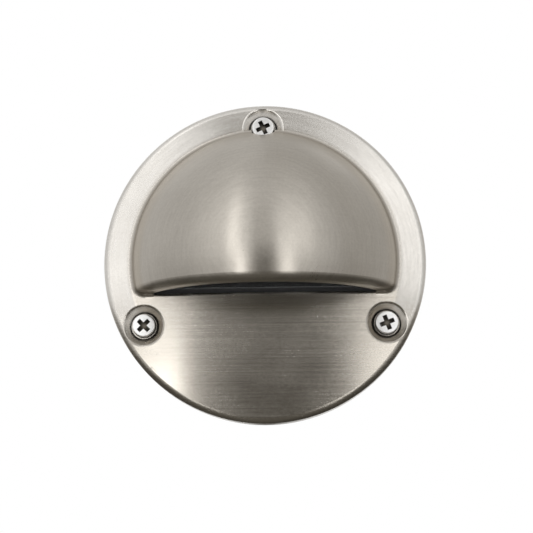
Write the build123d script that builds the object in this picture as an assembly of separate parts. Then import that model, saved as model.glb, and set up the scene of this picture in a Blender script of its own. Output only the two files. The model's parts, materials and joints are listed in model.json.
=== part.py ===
from build123d import *
from math import atan2, cos, degrees, radians, sin, sqrt, tan
import os

# Eyelid wall light, in millimetres.
# It is drawn lying on its back: X to the right, Y up the wall, Z out of the wall, with the origin on the
# wall behind the centre of the face. Each piece is stood up on the wall as it is written.
STAND_UP = Rot(90, 0, 0)

# Front cover pressing
FACE_DIAMETER = 110.0
SHEET = 1.2
FACE_CROWN = 1.6
RIM_BEND = 2.3
RIM_FLARE = 0.5
RIM_WALL_GAP = 0.5
LID_INSET = 10.0
LID_RISE = 30.5
LID_BASE_FILLET = 1.6
LID_DROP = 11.1
LIP_BEND = 3.0
LIP_LAND = 2.0
SHELF_GAP = 0.5
SHELF_CORNER = 0.2

# Screw pockets in the cover
SCREW_INSET = 8.9
LOWER_SCREW_ANGLE = 28.2
POCKET_DEPTH = 1.9
POCKET_MARGIN = 0.3
POCKET_FLARE = 2.1
POCKET_ROUND = 1.5
POCKET_GAP = 0.7
NOTCH_CLEARANCE = 0.5

# Cover screws, their seals and inserts
SCREW_RADIUS = 1.95
SCREW_PITCH = 0.7
THREAD_DEPTH = 0.4
SCREW_TIP_GAP = 0.7
HEAD_RADIUS = 3.75
HEAD_HEIGHT = 2.1
HEAD_CROWN = 0.6
CROSS_LENGTH = 4.4
CROSS_WIDTH = 1.15
CROSS_DEPTH = 1.4
CROSS_TURNS = {"top": 25.0, "left": 45.0, "right": 20.0}
SEAL_MARGIN = 0.2
SEAL_THICKNESS = 0.7
SCREW_CLEARANCE = 0.1
INSERT_WALL = 0.9
SEAT_GAP = 0.1

# Base plate and wall gasket
GASKET_THICKNESS = 1.0
GASKET_INSET = 1.4
PLATE_THICKNESS = 2.5
BASE_CLEARANCE = 0.9
BASE_RING_WIDTH = 4.4
BASE_RING_HEIGHT = 1.2
BOSS_WALL = 1.4
O_RING_SECTION = 1.8
O_RING_CLEARANCE = 0.1
O_RING_DEPTH = 1.5
WALL_HOLE_SPACING = 60.3
WALL_HOLE_RADIUS = 2.25
WALL_HOLE_HEIGHT = 18.0
CABLE_X = 21.0
CABLE_Y = 26.0
CABLE_RADIUS = 3.25
GROMMET_WALL = 2.0
GROMMET_FLANGE = 1.8
GROMMET_LIP = 1.2
PART_CLEARANCE = 0.05

# Window behind the lip
GLASS_THICKNESS = 3.0
GLASS_CLEARANCE = 0.3
GLASS_SETBACK = 1.5
WINDOW_SEAL = 0.6
SEAL_BAR_WIDTH = 2.2

# Lamp, along X
LAMP_RISE = 9.7
BULB_RADIUS = 4.6
BULB_LENGTH = 16.0
BULB_WALL = 0.9
PINCH_LENGTH = 8.0
PINCH_WIDTH = 7.6
PINCH_THICKNESS = 3.0
PIN_RADIUS = 0.35
PIN_SPACING = 4.0
PIN_LENGTH = 7.5
COIL_RADIUS = 0.6
COIL_LENGTH = 4.5
COIL_LEG_RADIUS = 0.2

# Lampholder and its bracket
HOLDER_THICKNESS = 9.0
HOLDER_WALL = 0.55
HOLDER_RIB = 0.45
HOLDER_ROUND = 1.0
PIN_MARGIN = 1.0
CONTACT_RADIUS = 1.1
CONTACT_CLEARANCE = 0.08
BRACKET_SHEET = 1.2
BRACKET_EDGE = 1.4
BRACKET_FOOT = 14.0
BRACKET_BEND = 2.0
BRACKET_MARGIN = 1.0
BRACKET_WINDOW_LENGTH = 7.0
BRACKET_WINDOW_WIDTH = 4.0
BRACKET_SCREW_SPREAD = 8.0

# Reflector behind and above the lamp
REFLECTOR_SHEET = 0.6
REFLECTOR_RADIUS = 12.0
REFLECTOR_LIFT = 2.0
REFLECTOR_TAIL = 10.5
REFLECTOR_SWEEP = 140.0
REFLECTOR_GAP = 2.5
REFLECTOR_LENGTH = 28.0
POST_RADIUS = 3.2
POST_HEIGHT = 3.9
POST_INSET = 3.0

# Small fixing screws
FIX_RADIUS = 1.2
FIX_HEAD_RADIUS = 2.3
FIX_HEAD_HEIGHT = 1.5
FIX_CROSS_LENGTH = 2.6
FIX_CROSS_WIDTH = 0.7
FIX_CROSS_DEPTH = 0.9
FIX_CLEARANCE = 0.15
FIX_FLOOR = 0.5

# Terminal block
BLOCK_GAP = 3.45
BLOCK_LENGTH = 12.5
BLOCK_WALL = 2.3
BLOCK_HEIGHT = 9.5
BLOCK_ROUND = 1.0
POLE_WALL = 0.6
CLAMP_RADIUS = 2.2
CLAMP_BORE = 1.2
CLAMP_INSET = 0.8
CLAMP_LIFT = 4.6
CLAMP_SCREW_RADIUS = 1.3
CLAMP_SCREW_SPREAD = 6.0
CLAMP_SCREW_SINK = 0.6
CLAMP_SLOT_WIDTH = 0.6
CLAMP_SLOT_DEPTH = 0.7

# Leads between the lampholder and the terminal block
LEAD_RADIUS = 0.65
LEAD_ENTRY = 2.0
LEAD_ROOM = 1.4
LEAD_CLIMB = 3.0
LEAD_RUN_HEIGHT = 10.0
LEAD_STEP = 2.5
LEAD_DIP = 16.0
BEND_SHARE = 0.45

# Levels and radii that follow from the sizes above
FACE_RADIUS = FACE_DIAMETER / 2
PLATE_BACK = GASKET_THICKNESS
PLATE_FRONT = PLATE_BACK + PLATE_THICKNESS
RING_TOP = PLATE_FRONT + BASE_RING_HEIGHT
POCKET_UNDERSIDE = RING_TOP + POCKET_GAP
POCKET_FLOOR = POCKET_UNDERSIDE + SHEET
EDGE_HEIGHT = POCKET_FLOOR + POCKET_DEPTH
FACE_TOP = EDGE_HEIGHT + FACE_CROWN
SLOT_Y = -LID_DROP
LID_BASE_RADIUS = FACE_RADIUS - LID_INSET
LID_RADIUS = (LID_BASE_RADIUS**2 + LID_RISE**2) / (2 * LID_RISE)
LID_CENTRE_Z = EDGE_HEIGHT + LID_RISE - LID_RADIUS
SCREW_CIRCLE_RADIUS = FACE_RADIUS - SCREW_INSET
FACE_HEAD_RADIUS = FACE_RADIUS - RIM_FLARE
SCREW_FACE_HEIGHT = FACE_TOP - FACE_CROWN * (SCREW_CIRCLE_RADIUS / FACE_HEAD_RADIUS) ** 2
SCREW_FACE_SLOPE = degrees(2 * FACE_CROWN * SCREW_CIRCLE_RADIUS / FACE_HEAD_RADIUS**2)
SEAL_RADIUS = HEAD_RADIUS + SEAL_MARGIN
POCKET_FLOOR_RADIUS = SEAL_RADIUS + POCKET_MARGIN
HEAD_SEAT = POCKET_FLOOR + SEAL_THICKNESS
HOLE_RADIUS = SCREW_RADIUS + SCREW_CLEARANCE
INSERT_RADIUS = HOLE_RADIUS + INSERT_WALL
BOSS_RADIUS = INSERT_RADIUS + BOSS_WALL
BOSS_TOP = POCKET_UNDERSIDE - SEAT_GAP
BASE_RADIUS = FACE_RADIUS - SHEET - BASE_CLEARANCE
GROMMET_RADIUS = CABLE_RADIUS + GROMMET_WALL
GLASS_BOTTOM = SLOT_Y + SHEET + WINDOW_SEAL
GLASS_RADIUS = LID_RADIUS - LIP_BEND - GLASS_CLEARANCE
OPENING_RADIUS = LID_RADIUS - LIP_BEND - LIP_LAND
SHELF_BACK = PLATE_FRONT + SHELF_GAP
GLASS_BACK = SHELF_BACK + GLASS_SETBACK
REFLECTOR_BACK = PLATE_FRONT + POST_HEIGHT
LAMP_Y = GLASS_BOTTOM + GLASS_THICKNESS + LAMP_RISE
LAMP_Z = REFLECTOR_BACK + REFLECTOR_SHEET + REFLECTOR_RADIUS
REFLECTOR_Y = LAMP_Y + REFLECTOR_LIFT
HOLDER_FACE_X = PINCH_THICKNESS / 2 - PINCH_LENGTH - BULB_LENGTH / 2
HOLDER_LENGTH = LEAD_ENTRY + PIN_LENGTH + PIN_MARGIN
HOLDER_BACK_X = HOLDER_FACE_X - HOLDER_LENGTH
HEAD_RECESS_RADIUS = FIX_HEAD_RADIUS + FIX_CLEARANCE
HOLDER_SCREW_SPREAD = PIN_SPACING + 2 * (CONTACT_RADIUS + HOLDER_RIB + HEAD_RECESS_RADIUS)
HOLDER_WIDTH = HOLDER_SCREW_SPREAD + 2 * (HEAD_RECESS_RADIUS + HOLDER_WALL)
BRACKET_WIDTH = HOLDER_SCREW_SPREAD + 2 * (FIX_RADIUS + BRACKET_EDGE)
REFLECTOR_START_X = HOLDER_FACE_X + REFLECTOR_GAP
FIX_BITE = PLATE_THICKNESS - FIX_FLOOR
POLE_SPACING = 2 * (CLAMP_RADIUS + POLE_WALL + FIX_RADIUS)
BLOCK_WIDTH = POLE_SPACING + 2 * (CLAMP_RADIUS + BLOCK_WALL)
BLOCK_Y = SCREW_CIRCLE_RADIUS - BOSS_RADIUS - BLOCK_GAP - BLOCK_LENGTH
BLOCK_TOP = PLATE_FRONT + BLOCK_HEIGHT
CLAMP_Z = PLATE_FRONT + CLAMP_LIFT
FAR = 2 * FACE_DIAMETER
NEAR = 0.01

UPWARD = (Align.CENTER, Align.CENTER, Align.MIN)


SCREW_ANGLES = {"top": 90.0, "left": 180.0 + LOWER_SCREW_ANGLE, "right": -LOWER_SCREW_ANGLE}
SCREW_PLACES = {
    name: (SCREW_CIRCLE_RADIUS * cos(radians(angle)), SCREW_CIRCLE_RADIUS * sin(radians(angle)))
    for name, angle in SCREW_ANGLES.items()
}


def at(place, z=0.0):
    return Pos(place[0], place[1], z)


def post(radius, bottom, top):
    """A round bar along Z between two heights."""
    return Pos(0, 0, bottom) * Cylinder(radius, top - bottom, align=UPWARD)


def spin(*points):
    """A solid turned about Z from its outline in radius and height."""
    outline = make_face(Plane.XZ * Polyline(*points, close=True))
    return revolve(outline, Axis.Z)


def above(y, back=0.0):
    """The half space higher up the wall than y and further out than back."""
    low_corner = (Align.CENTER, Align.MIN, Align.MIN)
    return Pos(0, y, back) * Box(FAR, FAR, FAR, align=low_corner)


def slab(low_y, high_y, back):
    """A level layer between two heights on the wall, from back outwards."""
    low_corner = (Align.CENTER, Align.MIN, Align.MIN)
    return Pos(0, low_y, back) * Box(FAR, high_y - low_y, FAR, align=low_corner)


def lid_ball(radius):
    """A ball round the lid's centre, with its poles up and down the wall, outside the lid."""
    return Pos(0, 0, LID_CENTRE_Z) * Rot(90, 0, 0) * Sphere(radius)


def lid_room(y, z):
    """How far the hollow of the lid reaches to each side at this height and depth."""
    return sqrt((LID_RADIUS - SHEET) ** 2 - (z - LID_CENTRE_Z) ** 2 - y**2)


def cross_recess(length, width, depth, top):
    """A cross-shaped driver recess, cut down from top."""
    arm = Box(length, width, depth, align=(Align.CENTER, Align.CENTER, Align.MAX))
    return Pos(0, 0, top) * (arm + Rot(0, 0, 90) * arm)


def face_body(inset):
    """The round body of the cover under its skin, without the lid, at a depth inset below the skin."""
    foot = FACE_RADIUS - inset
    head = foot - RIM_FLARE
    edge = EDGE_HEIGHT - inset
    crown = FACE_TOP - inset
    low = RIM_WALL_GAP - 2 * inset
    halfway = (head / 2, crown - FACE_CROWN / 4)
    outline = Plane.XZ * (
        ThreePointArc((0, crown), halfway, (head, edge))
        + Polyline((head, edge), (foot, low), (0, low), (0, crown))
    )
    body = revolve(make_face(outline), Axis.Z)
    shoulder = body.edges().filter_by(lambda edge: edge.is_closed).sort_by(Axis.Z)[-1]
    return fillet(shoulder, RIM_BEND - inset)


def lid_body(inset):
    """The half dome of the lid with its rounded lip, at a depth inset below the skin."""
    floor = SLOT_Y + inset
    dome = lid_ball(LID_RADIUS - inset) & above(floor)
    lip = dome.edges().filter_by_position(Axis.Y, floor - NEAR, floor + NEAR)
    return fillet(lip.filter_by(GeomType.CIRCLE), LIP_BEND - inset)


def pocket(name, grow):
    """A screw pocket, square to the crowned face and grown by grow; only the outer one has a round brim."""
    deep = -2 * POCKET_DEPTH
    steep = atan2(POCKET_DEPTH, POCKET_FLARE)

    def wall(height):
        rise = SCREW_FACE_HEIGHT - POCKET_FLOOR + height
        return POCKET_FLOOR_RADIUS + grow + rise / tan(steep)

    middle = wall(0) + POCKET_ROUND * tan(steep / 2)

    def on_brim(angle):
        return middle - POCKET_ROUND * sin(angle), POCKET_ROUND * (cos(angle) - 1)

    if grow == 0:
        rim = ThreePointArc(on_brim(steep), on_brim(steep / 2), on_brim(0))
        corners = [(middle, FACE_TOP), (0, FACE_TOP), (0, deep), (wall(deep), deep)]
        rest = Polyline(on_brim(0), *corners, on_brim(steep))
        outline = make_face(Plane.XZ * (rim + rest))
    else:
        corners = [(0, deep), (wall(deep), deep), (wall(FACE_TOP), FACE_TOP), (0, FACE_TOP)]
        outline = make_face(Plane.XZ * Polyline(*corners, close=True))
    lean = Rot(0, 0, SCREW_ANGLES[name]) * Rot(0, SCREW_FACE_SLOPE, 0)
    dish = at(SCREW_PLACES[name], SCREW_FACE_HEIGHT - grow) * lean * revolve(outline, Axis.Z)
    return dish & Pos(0, 0, POCKET_FLOOR - grow) * Box(FAR, FAR, FAR, align=UPWARD)


def blend_lid_base(body):
    """Rounds the outer corner where the lid stands on the face."""

    def on_lid_base(line):
        ends = [line @ 0, line @ 0.5, line @ 1]
        inside = all(sqrt(end.X**2 + end.Y**2) < LID_BASE_RADIUS + SHEET for end in ends)
        return inside and all(EDGE_HEIGHT < end.Z < FACE_TOP for end in ends)

    return fillet(body.edges().filter_by(on_lid_base), LID_BASE_FILLET)


def cover_body(inset):
    """The cover as a filled body, at a depth inset below its skin."""
    body = face_body(inset) + lid_body(inset)
    if inset == 0:
        body = blend_lid_base(body)
    lid_skin = lid_ball(LID_RADIUS - inset + SHEET / 2) & above(SLOT_Y - LID_BASE_FILLET)
    notch_radius = HEAD_RADIUS + NOTCH_CLEARANCE + inset
    for name in SCREW_PLACES:
        body -= pocket(name, inset) - lid_skin
    return body - at(SCREW_PLACES["top"]) * post(notch_radius, POCKET_FLOOR - inset, FAR)


def slot_half_length():
    return sqrt(OPENING_RADIUS**2 - (FACE_TOP - LID_CENTRE_Z) ** 2 - SLOT_Y**2)


def panel_edge():
    """The upper edge of the lower panel along the slot, turned in towards the wall as a shelf."""
    below_slot = (Align.CENTER, Align.MAX, Align.MIN)
    shelf = Box(2 * slot_half_length(), SHEET, FAR, align=below_slot)
    shelf = Pos(0, SLOT_Y, SHELF_BACK) * shelf & face_body(0)
    strip = panel_gap() & (face_body(0) - face_body(SHEET))
    edge = shelf + strip

    def on_outer_corner(line):
        points = [line @ 0, line @ 0.5, line @ 1]
        return all(abs(p.Y - SLOT_Y) < NEAR and p.Z > EDGE_HEIGHT for p in points)

    return fillet(edge.edges().filter_by(on_outer_corner), SHEET - SHELF_CORNER)


def panel_gap():
    """The part of the face along the slot that its turned-in edge takes up."""
    height = SHEET + 2 * LID_BASE_FILLET
    depth = FACE_TOP + LID_BASE_FILLET
    below_slot = (Align.CENTER, Align.MAX, Align.MIN)
    return Pos(0, SLOT_Y, 0) * Box(2 * slot_half_length(), height, depth, align=below_slot)


def front_cover():
    cover = cover_body(0) - cover_body(SHEET)
    cover -= lid_ball(OPENING_RADIUS) & slab(SLOT_Y, SLOT_Y + 2 * SHEET, 0)
    cover = cover - panel_gap() + panel_edge()
    for place in SCREW_PLACES.values():
        cover -= at(place) * post(HOLE_RADIUS + SCREW_CLEARANCE, 0, FACE_TOP)
    return cover


def cover_screw(name):
    """A cover screw with a crowned cross-recess head and ring-shaped threads."""
    top = HEAD_SEAT + HEAD_HEIGHT
    tip = PLATE_BACK + SCREW_TIP_GAP
    root = SCREW_RADIUS - THREAD_DEPTH
    profile = [(0, tip), (root, tip)]
    turns = int((POCKET_UNDERSIDE - tip) / SCREW_PITCH)
    for turn in range(turns):
        low = tip + turn * SCREW_PITCH
        profile.append((SCREW_RADIUS, low + SCREW_PITCH / 2))
        profile.append((root, low + SCREW_PITCH))
    profile.append((root, HEAD_SEAT))
    profile.append((HEAD_RADIUS, HEAD_SEAT))
    profile.append((HEAD_RADIUS, top - HEAD_CROWN))
    profile.append((HEAD_RADIUS - HEAD_CROWN, top))
    profile.append((0, top))
    recess = cross_recess(CROSS_LENGTH, CROSS_WIDTH, CROSS_DEPTH, top)
    screw = spin(*profile) - Rot(0, 0, CROSS_TURNS[name]) * recess
    return at(SCREW_PLACES[name]) * screw


def screw_seal(name):
    ring = post(SEAL_RADIUS, POCKET_FLOOR, HEAD_SEAT) - post(HOLE_RADIUS, 0, FACE_TOP)
    return at(SCREW_PLACES[name]) * ring


def threaded_inserts():
    sleeve = post(INSERT_RADIUS, PLATE_BACK, BOSS_TOP) - post(HOLE_RADIUS, 0, FACE_TOP)
    return [at(place) * sleeve for place in SCREW_PLACES.values()]


def window_glass():
    return lid_ball(GLASS_RADIUS) & slab(GLASS_BOTTOM, GLASS_BOTTOM + GLASS_THICKNESS, GLASS_BACK)


def window_seal():
    """The bead under the glass, along the lip and along the shelf."""
    bead = lid_ball(GLASS_RADIUS) & slab(GLASS_BOTTOM - WINDOW_SEAL, GLASS_BOTTOM, GLASS_BACK)
    bead -= lid_ball(OPENING_RADIUS) & above(SLOT_Y, GLASS_BACK + SEAL_BAR_WIDTH)
    bar = lid_ball(OPENING_RADIUS) & slab(SLOT_Y, GLASS_BOTTOM - WINDOW_SEAL, GLASS_BACK)
    bar -= above(SLOT_Y - SHEET, GLASS_BACK + SEAL_BAR_WIDTH)
    return bead + bar


def wall_places():
    half = WALL_HOLE_SPACING / 2
    return [(-half, WALL_HOLE_HEIGHT), (half, WALL_HOLE_HEIGHT)]


def reflector_places():
    y = REFLECTOR_Y - REFLECTOR_TAIL / 2
    first = REFLECTOR_START_X + POST_INSET
    last = REFLECTOR_START_X + REFLECTOR_LENGTH - POST_INSET
    return [(first, y), (last, y)]


def bracket_places():
    x = HOLDER_BACK_X - BRACKET_SHEET - BRACKET_BEND - (BRACKET_FOOT - BRACKET_BEND) / 2
    half = BRACKET_SCREW_SPREAD / 2
    return [(x, LAMP_Y - half), (x, LAMP_Y + half)]


def block_place():
    return 0, BLOCK_Y + BLOCK_LENGTH / 2


def fixing_screw(seat, cover=0.0):
    """A small cross-head screw down from seat, through cover and into the moulding."""
    top = seat + FIX_HEAD_HEIGHT
    shank = post(FIX_RADIUS, seat - cover - FIX_BITE, seat)
    head = post(FIX_HEAD_RADIUS, seat, top)
    crown = head.edges().filter_by(GeomType.CIRCLE).sort_by(Axis.Z)[-1]
    head = fillet(crown, FIX_HEAD_HEIGHT / 2)
    return head + shank - cross_recess(FIX_CROSS_LENGTH, FIX_CROSS_WIDTH, FIX_CROSS_DEPTH, top)


def fixing_hole(seat):
    """The blind hole for a fixing screw that bites below seat."""
    return post(FIX_RADIUS + PART_CLEARANCE, seat - FIX_BITE - PART_CLEARANCE, FAR)


def groove_middle():
    return (PLATE_BACK + RING_TOP) / 2


def base_plate():
    base = post(BASE_RADIUS, PLATE_BACK, RING_TOP)
    base -= post(BASE_RADIUS - BASE_RING_WIDTH, PLATE_FRONT, RING_TOP)
    core = post(BASE_RADIUS - O_RING_DEPTH, 0, FAR)
    half = O_RING_SECTION / 2 + O_RING_CLEARANCE
    base -= post(FAR, groove_middle() - half, groove_middle() + half) - core
    for place in SCREW_PLACES.values():
        base += at(place) * post(BOSS_RADIUS, PLATE_BACK, BOSS_TOP) & core
    for place in SCREW_PLACES.values():
        base -= at(place) * post(INSERT_RADIUS + PART_CLEARANCE, 0, FACE_TOP)
    for place in reflector_places():
        base += at(place) * post(POST_RADIUS, PLATE_BACK, REFLECTOR_BACK)
        base -= at(place) * fixing_hole(REFLECTOR_BACK)
    for place in bracket_places():
        base -= at(place) * fixing_hole(PLATE_FRONT)
    base -= at(block_place()) * fixing_hole(PLATE_FRONT)
    for place in wall_places():
        base -= at(place) * post(WALL_HOLE_RADIUS, 0, FACE_TOP)
    return base - at((CABLE_X, CABLE_Y)) * post(GROMMET_RADIUS, 0, FACE_TOP)


def wall_gasket():
    gasket = post(BASE_RADIUS - GASKET_INSET, 0, GASKET_THICKNESS)
    for place in wall_places():
        gasket -= at(place) * post(WALL_HOLE_RADIUS, 0, FACE_TOP)
    flange = GROMMET_RADIUS + GROMMET_FLANGE + PART_CLEARANCE
    return gasket - at((CABLE_X, CABLE_Y)) * post(flange, 0, FACE_TOP)


def cover_o_ring():
    radius = BASE_RADIUS - O_RING_DEPTH + PART_CLEARANCE + O_RING_SECTION / 2
    return Pos(0, 0, groove_middle()) * Torus(radius, O_RING_SECTION / 2)


def cable_grommet():
    lip_top = PLATE_FRONT + GROMMET_LIP
    flange = GROMMET_RADIUS + GROMMET_FLANGE
    body = post(GROMMET_RADIUS, PLATE_BACK - GROMMET_LIP / 2, lip_top)
    body += post(flange, PLATE_BACK - GROMMET_LIP / 2, PLATE_BACK)
    body += post(flange, PLATE_FRONT, lip_top)
    return at((CABLE_X, CABLE_Y)) * (body - post(CABLE_RADIUS, 0, FACE_TOP))


def along_x(x, y, z):
    """A place on the lamp's axis side, with the local Z axis pointing along X."""
    return Pos(x, y, z) * Rot(0, 90, 0)


def pin_offsets():
    half = PIN_SPACING / 2
    return [LAMP_Y - half, LAMP_Y + half]


def lamp_envelope():
    """The glass capsule: a flat pinch and a round-ended hollow bulb."""
    start = HOLDER_FACE_X
    pinch = Pos(start + PINCH_LENGTH / 2, LAMP_Y, LAMP_Z)
    pinch *= Box(PINCH_LENGTH, PINCH_WIDTH, PINCH_THICKNESS)
    bulb_start = along_x(start + PINCH_LENGTH - PINCH_THICKNESS / 2, LAMP_Y, LAMP_Z)
    straight = BULB_LENGTH - BULB_RADIUS
    bulb = post(BULB_RADIUS, 0, straight) + Pos(0, 0, straight) * Sphere(BULB_RADIUS)
    inner = BULB_RADIUS - BULB_WALL
    hollow = post(inner, PINCH_THICKNESS, straight) + Pos(0, 0, straight) * Sphere(inner)
    return pinch + bulb_start * bulb - bulb_start * hollow


def lamp_pins():
    end = HOLDER_FACE_X - PIN_LENGTH
    return [along_x(end, y, LAMP_Z) * post(PIN_RADIUS, 0, PIN_LENGTH) for y in pin_offsets()]


def lamp_filament():
    """The wound filament as one bar, on the two legs that stand in the pinch."""
    foot = HOLDER_FACE_X + PINCH_LENGTH + PINCH_THICKNESS / 2
    coil_x = foot + (BULB_LENGTH - COIL_LENGTH) / 2 - PINCH_THICKNESS
    coil = along_x(coil_x, LAMP_Y, LAMP_Z) * post(COIL_RADIUS, 0, COIL_LENGTH)
    half = PIN_SPACING / 4
    near = coil_x + COIL_LEG_RADIUS
    far = coil_x + COIL_LENGTH - COIL_LEG_RADIUS
    for y, end in ((LAMP_Y - half, near), (LAMP_Y + half, far)):
        coil += along_x(foot, y, LAMP_Z) * post(COIL_LEG_RADIUS, 0, end - foot)
        bridge = Pos(end, y, LAMP_Z) * Rot(90 if y > LAMP_Y else -90, 0, 0)
        coil += bridge * post(COIL_LEG_RADIUS, 0, half)
    return coil


def holder_screw_places():
    half = HOLDER_SCREW_SPREAD / 2
    return [LAMP_Y - half, LAMP_Y + half]


def lampholder():
    middle = (HOLDER_FACE_X + HOLDER_BACK_X) / 2
    body = Box(HOLDER_LENGTH, HOLDER_WIDTH, HOLDER_THICKNESS)
    body = Pos(middle, LAMP_Y, LAMP_Z) * fillet(body.edges().filter_by(Axis.X), HOLDER_ROUND)
    for y in pin_offsets():
        body -= along_x(HOLDER_BACK_X + LEAD_ENTRY, y, LAMP_Z) * post(CONTACT_RADIUS, 0, HOLDER_LENGTH)
        body -= along_x(HOLDER_BACK_X, y, LAMP_Z) * post(LEAD_RADIUS + PART_CLEARANCE, 0, LEAD_ENTRY)
    for y in holder_screw_places():
        body -= along_x(HOLDER_BACK_X, y, LAMP_Z) * post(FIX_RADIUS + FIX_CLEARANCE, 0, HOLDER_LENGTH)
        seat = along_x(HOLDER_FACE_X - FIX_HEAD_HEIGHT, y, LAMP_Z)
        body -= seat * post(HEAD_RECESS_RADIUS, 0, FIX_HEAD_HEIGHT)
    return body


def lampholder_contacts():
    length = HOLDER_LENGTH - LEAD_ENTRY - CONTACT_RADIUS
    sleeve = post(CONTACT_RADIUS - PART_CLEARANCE, 0, length)
    sleeve -= post(PIN_RADIUS + CONTACT_CLEARANCE, 0, length)
    return [along_x(HOLDER_BACK_X + LEAD_ENTRY, y, LAMP_Z) * sleeve for y in pin_offsets()]


def lampholder_bracket():
    """An angle bracket: its foot on the base plate, its upright behind the lampholder."""
    top = LAMP_Z + HOLDER_THICKNESS / 2 + BRACKET_MARGIN
    face = HOLDER_BACK_X
    outer = make_face(
        Plane.XZ
        * FilletPolyline(
            (face, top),
            (face, PLATE_FRONT),
            (face - BRACKET_FOOT, PLATE_FRONT),
            radius=BRACKET_BEND,
        ).offset_2d(BRACKET_SHEET, side=Side.RIGHT)
    )
    bracket = Pos(0, LAMP_Y, 0) * extrude(outer, BRACKET_WIDTH / 2, both=True)
    tapping = post(FIX_RADIUS + PART_CLEARANCE, 0, BRACKET_FOOT)
    for y in holder_screw_places():
        bracket -= along_x(face - BRACKET_FOOT, y, LAMP_Z) * tapping
    for place in bracket_places():
        bracket -= at(place) * post(FIX_RADIUS + FIX_CLEARANCE, 0, LAMP_Z)
    window = Pos(face, LAMP_Y, LAMP_Z)
    return bracket - window * Box(BRACKET_FOOT, BRACKET_WINDOW_LENGTH, BRACKET_WINDOW_WIDTH)


def reflector():
    """A bent sheet: a flat tail behind the lamp and a trough over it."""
    sweep = radians(REFLECTOR_SWEEP)

    def on_arc(radius, angle):
        return REFLECTOR_Y + radius * sin(angle), LAMP_Z - radius * cos(angle)

    inner, outer = REFLECTOR_RADIUS, REFLECTOR_RADIUS + REFLECTOR_SHEET
    tail_y = REFLECTOR_Y - REFLECTOR_TAIL
    outline = Plane.YZ * (
        Polyline(on_arc(inner, 0), (tail_y, LAMP_Z - inner), (tail_y, LAMP_Z - outer), on_arc(outer, 0))
        + ThreePointArc(on_arc(outer, 0), on_arc(outer, sweep / 2), on_arc(outer, sweep))
        + Line(on_arc(outer, sweep), on_arc(inner, sweep))
        + ThreePointArc(on_arc(inner, sweep), on_arc(inner, sweep / 2), on_arc(inner, 0))
    )
    sheet = extrude(make_face(outline), REFLECTOR_LENGTH, dir=(1, 0, 0))
    sheet = Pos(REFLECTOR_START_X, 0, 0) * sheet
    for place in reflector_places():
        sheet -= at(place) * post(FIX_RADIUS + FIX_CLEARANCE, 0, LAMP_Z)
    return sheet


def terminal_block():
    body = Box(BLOCK_WIDTH, BLOCK_LENGTH, BLOCK_HEIGHT, align=UPWARD)
    body = at(block_place(), PLATE_FRONT) * fillet(body.edges().filter_by(Axis.Z), BLOCK_ROUND)
    bore = Rot(-90, 0, 0) * post(CLAMP_RADIUS + PART_CLEARANCE, 0, BLOCK_LENGTH)
    for x in pole_places():
        body -= Pos(x, BLOCK_Y, CLAMP_Z) * bore
        for y in clamp_screw_rows():
            body -= Pos(x, y, CLAMP_Z) * post(CLAMP_SCREW_RADIUS + FIX_CLEARANCE, 0, BLOCK_HEIGHT)
    seat = BLOCK_TOP - FIX_HEAD_HEIGHT
    body -= at(block_place()) * post(FIX_RADIUS + FIX_CLEARANCE, 0, FAR)
    return body - at(block_place()) * post(HEAD_RECESS_RADIUS, seat, FAR)


def pole_places():
    return [-POLE_SPACING / 2, POLE_SPACING / 2]


def clamp_screw_rows():
    middle = block_place()[1]
    return [middle - CLAMP_SCREW_SPREAD / 2, middle + CLAMP_SCREW_SPREAD / 2]


def terminal_clamps():
    tube = post(CLAMP_RADIUS, CLAMP_INSET, BLOCK_LENGTH - CLAMP_INSET)
    tube -= post(CLAMP_BORE, 0, BLOCK_LENGTH)
    clamps = []
    for x in pole_places():
        clamp = Pos(x, BLOCK_Y, CLAMP_Z) * Rot(-90, 0, 0) * tube
        for y in clamp_screw_rows():
            clamp -= Pos(x, y, CLAMP_Z) * post(CLAMP_SCREW_RADIUS + PART_CLEARANCE, 0, BLOCK_HEIGHT)
        clamps.append(clamp)
    return clamps


def terminal_screws():
    top = BLOCK_TOP - CLAMP_SCREW_SINK
    bottom = CLAMP_Z + LEAD_RADIUS + PART_CLEARANCE
    slot = Pos(0, 0, top) * Box(FAR, CLAMP_SLOT_WIDTH, 2 * CLAMP_SLOT_DEPTH)
    screw = post(CLAMP_SCREW_RADIUS, bottom, top) - slot
    return [at((x, y)) * screw for x in pole_places() for y in clamp_screw_rows()]


def lead(index):
    """A round lead from the lampholder, behind it and above the reflector, to a terminal."""
    start = (HOLDER_BACK_X + LEAD_ENTRY - PART_CLEARANCE, pin_offsets()[index], LAMP_Z)
    end = (pole_places()[index], clamp_screw_rows()[0] + CLAMP_SCREW_RADIUS, CLAMP_Z)
    outer = 1 - index
    loop_x = LEAD_RADIUS + LEAD_ROOM + index * LEAD_STEP - lid_room(pin_offsets()[0], LAMP_Z)
    run_y = REFLECTOR_Y + LEAD_RUN_HEIGHT + outer * LEAD_STEP
    path = [
        start,
        (loop_x, start[1], LAMP_Z),
        (loop_x + LEAD_CLIMB, run_y, (LAMP_Z + CLAMP_Z) / 2),
        (end[0] - LEAD_DIP, run_y, CLAMP_Z),
        (end[0], run_y, CLAMP_Z),
        end,
    ]
    radii = []
    for before, corner, after in zip(path, path[1:], path[2:]):
        into, out = Vector(*corner) - Vector(*before), Vector(*after) - Vector(*corner)
        half_turn = radians(into.get_angle(out)) / 2
        radii.append(BEND_SHARE * min(into.length, out.length) / tan(half_turn))
    wire = FilletPolyline(*path, radius=radii)
    section = Plane(origin=wire @ 0, z_dir=wire % 0) * Circle(LEAD_RADIUS)
    return sweep(section, path=wire)


def outer_lead():
    return lead(0)


def inner_lead():
    return lead(1)


def bracket_screws():
    seat = PLATE_FRONT + BRACKET_SHEET
    return [at(place) * fixing_screw(seat, BRACKET_SHEET) for place in bracket_places()]


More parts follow.
